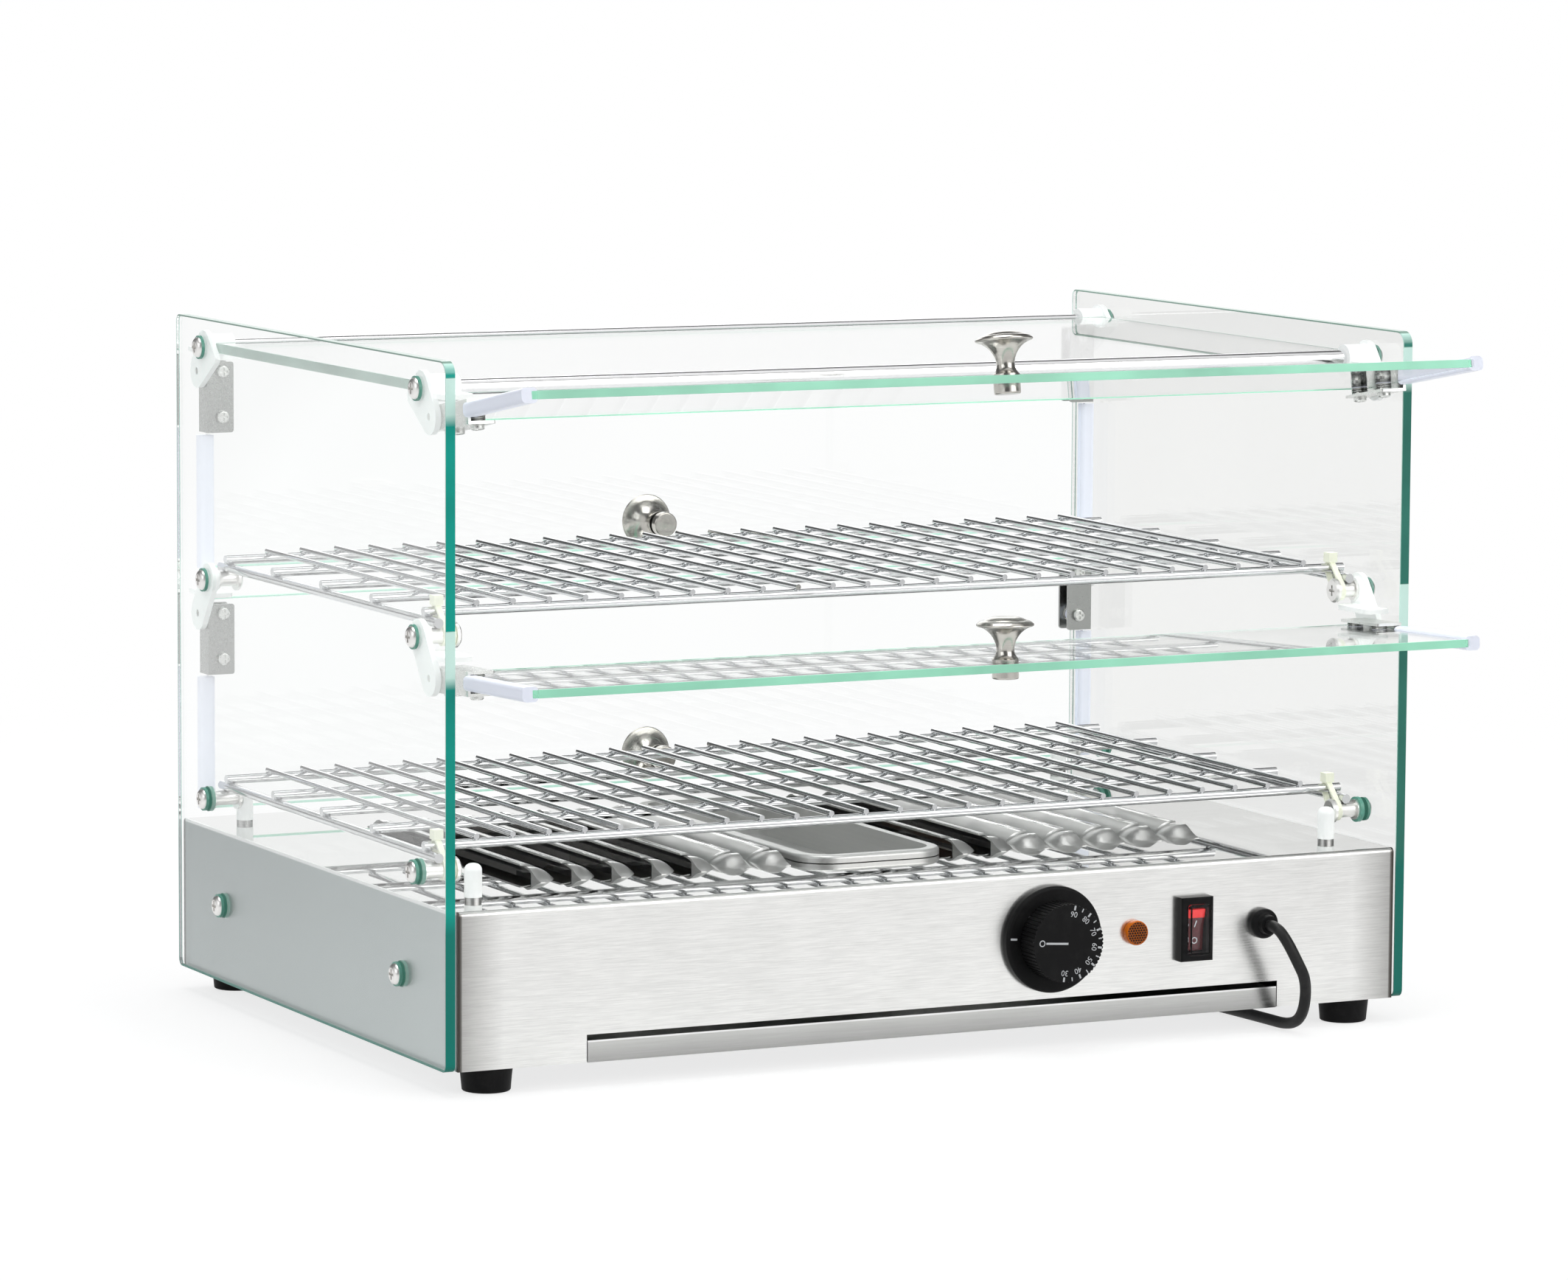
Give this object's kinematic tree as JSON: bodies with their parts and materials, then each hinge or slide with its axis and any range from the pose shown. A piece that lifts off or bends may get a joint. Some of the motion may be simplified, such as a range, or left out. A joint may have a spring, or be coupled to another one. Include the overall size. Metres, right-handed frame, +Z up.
{
  "type": "heated display case",
  "caption": "Countertop heated display case: glass sides and top, lift-up glass doors front and back, wire shelves, louvred stainless base with water pan, crumb tray and controls.",
  "frame": {"origin": "centre of the footprint, on the worktop plane under the feet", "axes": "+X to the right seen from the front, +Y to the back, +Z up"},
  "size_m": [0.5614, 0.6009, 0.3798],
  "materials": {
    "stainless_sheet": "horizontally brushed stainless sheet",
    "end_sheet": "satin grey sheet",
    "floor_sheet": "plain zinc-coated sheet",
    "tray_sheet": "satin stainless sheet",
    "pan_sheet": "bright pressed stainless",
    "foot_rubber": "matt black rubber",
    "zinc_screw": "zinc-plated steel",
    "side_glass": "clear float glass with teal polished edges",
    "door_glass": "clear float glass with mint polished edges",
    "chrome_rod": "bright chrome",
    "chrome_screw": "bright chrome with cross recess",
    "white_nylon": "translucent white nylon",
    "tie_nylon": "pale translucent nylon",
    "black_plastic": "black moulded plastic",
    "copper_body": "copper bulb and tube on a plated body",
    "amber_lens": "amber lens with honeycomb facets",
    "red_rocker": "translucent red with white marks",
    "clear_cover": "clear soft cover",
    "element_steel": "heat-darkened steel sheath",
    "wire_sleeve": "silicone sleeve",
    "cord_rubber": "black cord jacket",
    "plug_plastic": "black moulded plug",
    "nickel_knob": "brushed nickel",
    "clamp_steel": "bright bent steel",
    "clear_strip": "clear bluish strip"
  },
  "bodies": {
    "case": {"base_shell": "stainless_sheet", "base_ends": "end_sheet", "base_floor": "floor_sheet", "feet": "foot_rubber", "base_screws": "zinc_screw", "side_glass_left": "side_glass", "side_glass_right": "side_glass", "top_glass": "door_glass", "top_rails": "chrome_rod", "top_hinge_blocks": "white_nylon", "middle_hinge_blocks": "white_nylon", "glass_screws": "chrome_screw", "shelf_studs": "chrome_screw", "glass_washers": "white_nylon", "upper_shelf": "chrome_rod", "lower_shelf": "chrome_rod", "shelf_ties": "tie_nylon", "bumper_pins": "chrome_screw", "bumper_caps": "white_nylon", "thermostat_bezel": "black_plastic", "thermostat_body": "copper_body", "lamp_lens": "amber_lens", "lamp_body": "black_plastic", "switch_housing": "black_plastic", "switch_cover": "clear_cover", "cord_gland": "black_plastic", "heating_elements": "element_steel", "element_brackets": "floor_sheet", "terminal_block": "white_nylon", "wiring": "wire_sleeve", "power_lead": "cord_rubber", "lead_coil": "cord_rubber", "coil_tie": "black_plastic", "plug": "plug_plastic"},
    "front_upper_door": {"front_upper_glass": "door_glass", "front_upper_knob": "nickel_knob", "front_upper_clamps": "clamp_steel", "front_upper_clamp_screws": "chrome_screw", "front_upper_seals": "clear_strip"},
    "front_lower_door": {"front_lower_glass": "door_glass", "front_lower_knob": "nickel_knob", "front_lower_clamps": "clamp_steel", "front_lower_clamp_screws": "chrome_screw", "front_lower_seals": "clear_strip"},
    "rear_upper_door": {"rear_upper_glass": "door_glass", "rear_upper_knob": "nickel_knob", "rear_upper_clamps": "clamp_steel", "rear_upper_clamp_screws": "chrome_screw", "rear_upper_seals": "clear_strip"},
    "rear_lower_door": {"rear_lower_glass": "door_glass", "rear_lower_knob": "nickel_knob", "rear_lower_clamps": "clamp_steel", "rear_lower_clamp_screws": "chrome_screw", "rear_lower_seals": "clear_strip"},
    "water_pan": {"water_pan": "pan_sheet"},
    "crumb_tray": {"crumb_tray": "tray_sheet"},
    "thermostat_dial": {"thermostat_knob": "black_plastic", "thermostat_shaft": "zinc_screw"},
    "switch_rocker": {"rocker": "red_rocker"}
  },
  "joints": [
    {"name": "front_upper_hinge", "type": "hinge", "parent": "case", "child": "front_upper_door", "pos_m": [0, -0.157, 0.338], "axis": [-1, 0, 0], "range_deg": [-100, 0]},
    {"name": "front_lower_hinge", "type": "hinge", "parent": "case", "child": "front_lower_door", "pos_m": [0, -0.157, 0.2075], "axis": [-1, 0, 0], "range_deg": [-92, 8]},
    {"name": "rear_upper_hinge", "type": "hinge", "parent": "case", "child": "rear_upper_door", "pos_m": [0, 0.157, 0.338], "axis": [1, 0, 0], "range_deg": [0, 100]},
    {"name": "rear_lower_hinge", "type": "hinge", "parent": "case", "child": "rear_lower_door", "pos_m": [0, 0.157, 0.2075], "axis": [1, 0, 0], "range_deg": [0, 100]},
    {"name": "pan_lift", "type": "slide", "parent": "case", "child": "water_pan", "axis": [0, 0, 1], "range_m": [0, 0.016]},
    {"name": "tray_slide", "type": "slide", "parent": "case", "child": "crumb_tray", "axis": [0, -1, 0], "range_m": [0, 0.25]},
    {"name": "dial_turn", "type": "hinge", "parent": "case", "child": "thermostat_dial", "pos_m": [0.064, -0.1825, 0.058], "axis": [0, 1, 0], "range_deg": [0, 260]},
    {"name": "rocker_tilt", "type": "hinge", "parent": "case", "child": "switch_rocker", "pos_m": [0.1485, -0.1805, 0.058], "axis": [-1, 0, 0], "range_deg": [0, 16]}
  ]
}
